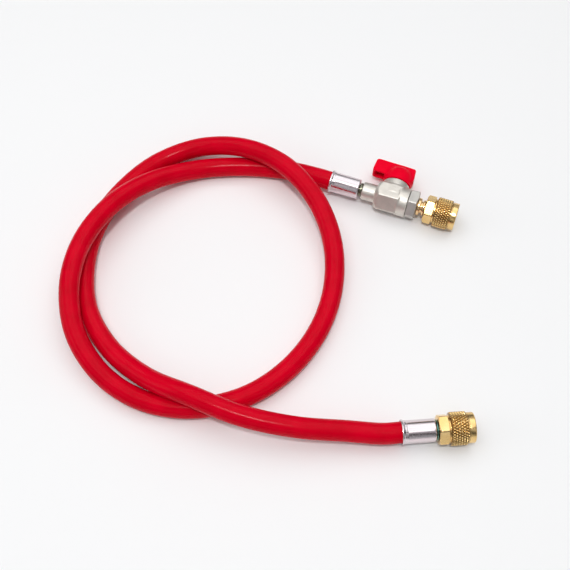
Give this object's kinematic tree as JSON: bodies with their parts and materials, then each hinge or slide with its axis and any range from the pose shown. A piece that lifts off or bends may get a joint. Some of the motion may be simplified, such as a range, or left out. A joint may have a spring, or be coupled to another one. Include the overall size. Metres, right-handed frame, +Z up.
{
  "type": "refrigerant charging hose with ball valve",
  "caption": "Red rubber charging hose in a loose loop, with crimped ends, brass swivel coupling nuts and a small lever ball valve.",
  "frame": {"origin": "middle of the footprint of the two end fittings, on the floor that the hose lies on", "axes": "+Z up; +Y from the plain end fitting towards the valve fitting; the hose's loop lies towards -X"},
  "size_m": [0.2202, 0.1874, 0.0229],
  "materials": {
    "hose_rubber": "semi-gloss crimson rubber cover with a fine grain",
    "ferrule_plating": "bright zinc plating with a faint pink sheen",
    "tail_plating": "olive to green tinted plating",
    "valve_nickel": "satin nickel over a fine cast grain",
    "ball_chrome": "polished",
    "stem_steel": "turned, satin",
    "nut_brass": "bright turned brass, knurled grip",
    "adaptor_brass": "bright turned brass",
    "lever_plastic": "bright red moulded plastic",
    "seal_rubber": "matte black"
  },
  "bodies": {
    "hose_and_valve": {"hose": "hose_rubber", "end_ferrule": "ferrule_plating", "end_hose_tail": "tail_plating", "end_coupling_seal": "seal_rubber", "valve_ferrule": "ferrule_plating", "valve_hose_tail": "tail_plating", "valve_body": "valve_nickel", "valve_end_cap": "valve_nickel", "valve_adaptor": "adaptor_brass", "valve_coupling_seal": "seal_rubber"},
    "lever": {"valve_handle": "lever_plastic", "handle_screw": "stem_steel", "valve_stem": "stem_steel", "valve_ball": "ball_chrome"},
    "end_nut": {"end_coupling_nut": "nut_brass"},
    "valve_nut": {"valve_coupling_nut": "nut_brass"}
  },
  "joints": [
    {"name": "lever_turn", "type": "hinge", "parent": "hose_and_valve", "child": "lever", "pos_m": [-0.00078, 0.06031, 0.00845], "axis": [0.3322, 0.9432, 0], "range_deg": [0, 90]},
    {"name": "end_nut_swivel", "type": "hinge", "parent": "hose_and_valve", "child": "end_nut", "pos_m": [0.01435, -0.07815, 0.00845], "axis": [0.9973, 0.0732, 0], "continuous": true},
    {"name": "valve_nut_swivel", "type": "hinge", "parent": "hose_and_valve", "child": "valve_nut", "pos_m": [0.0178, 0.05377, 0.00845], "axis": [0.9432, -0.3322, 0], "continuous": true}
  ]
}
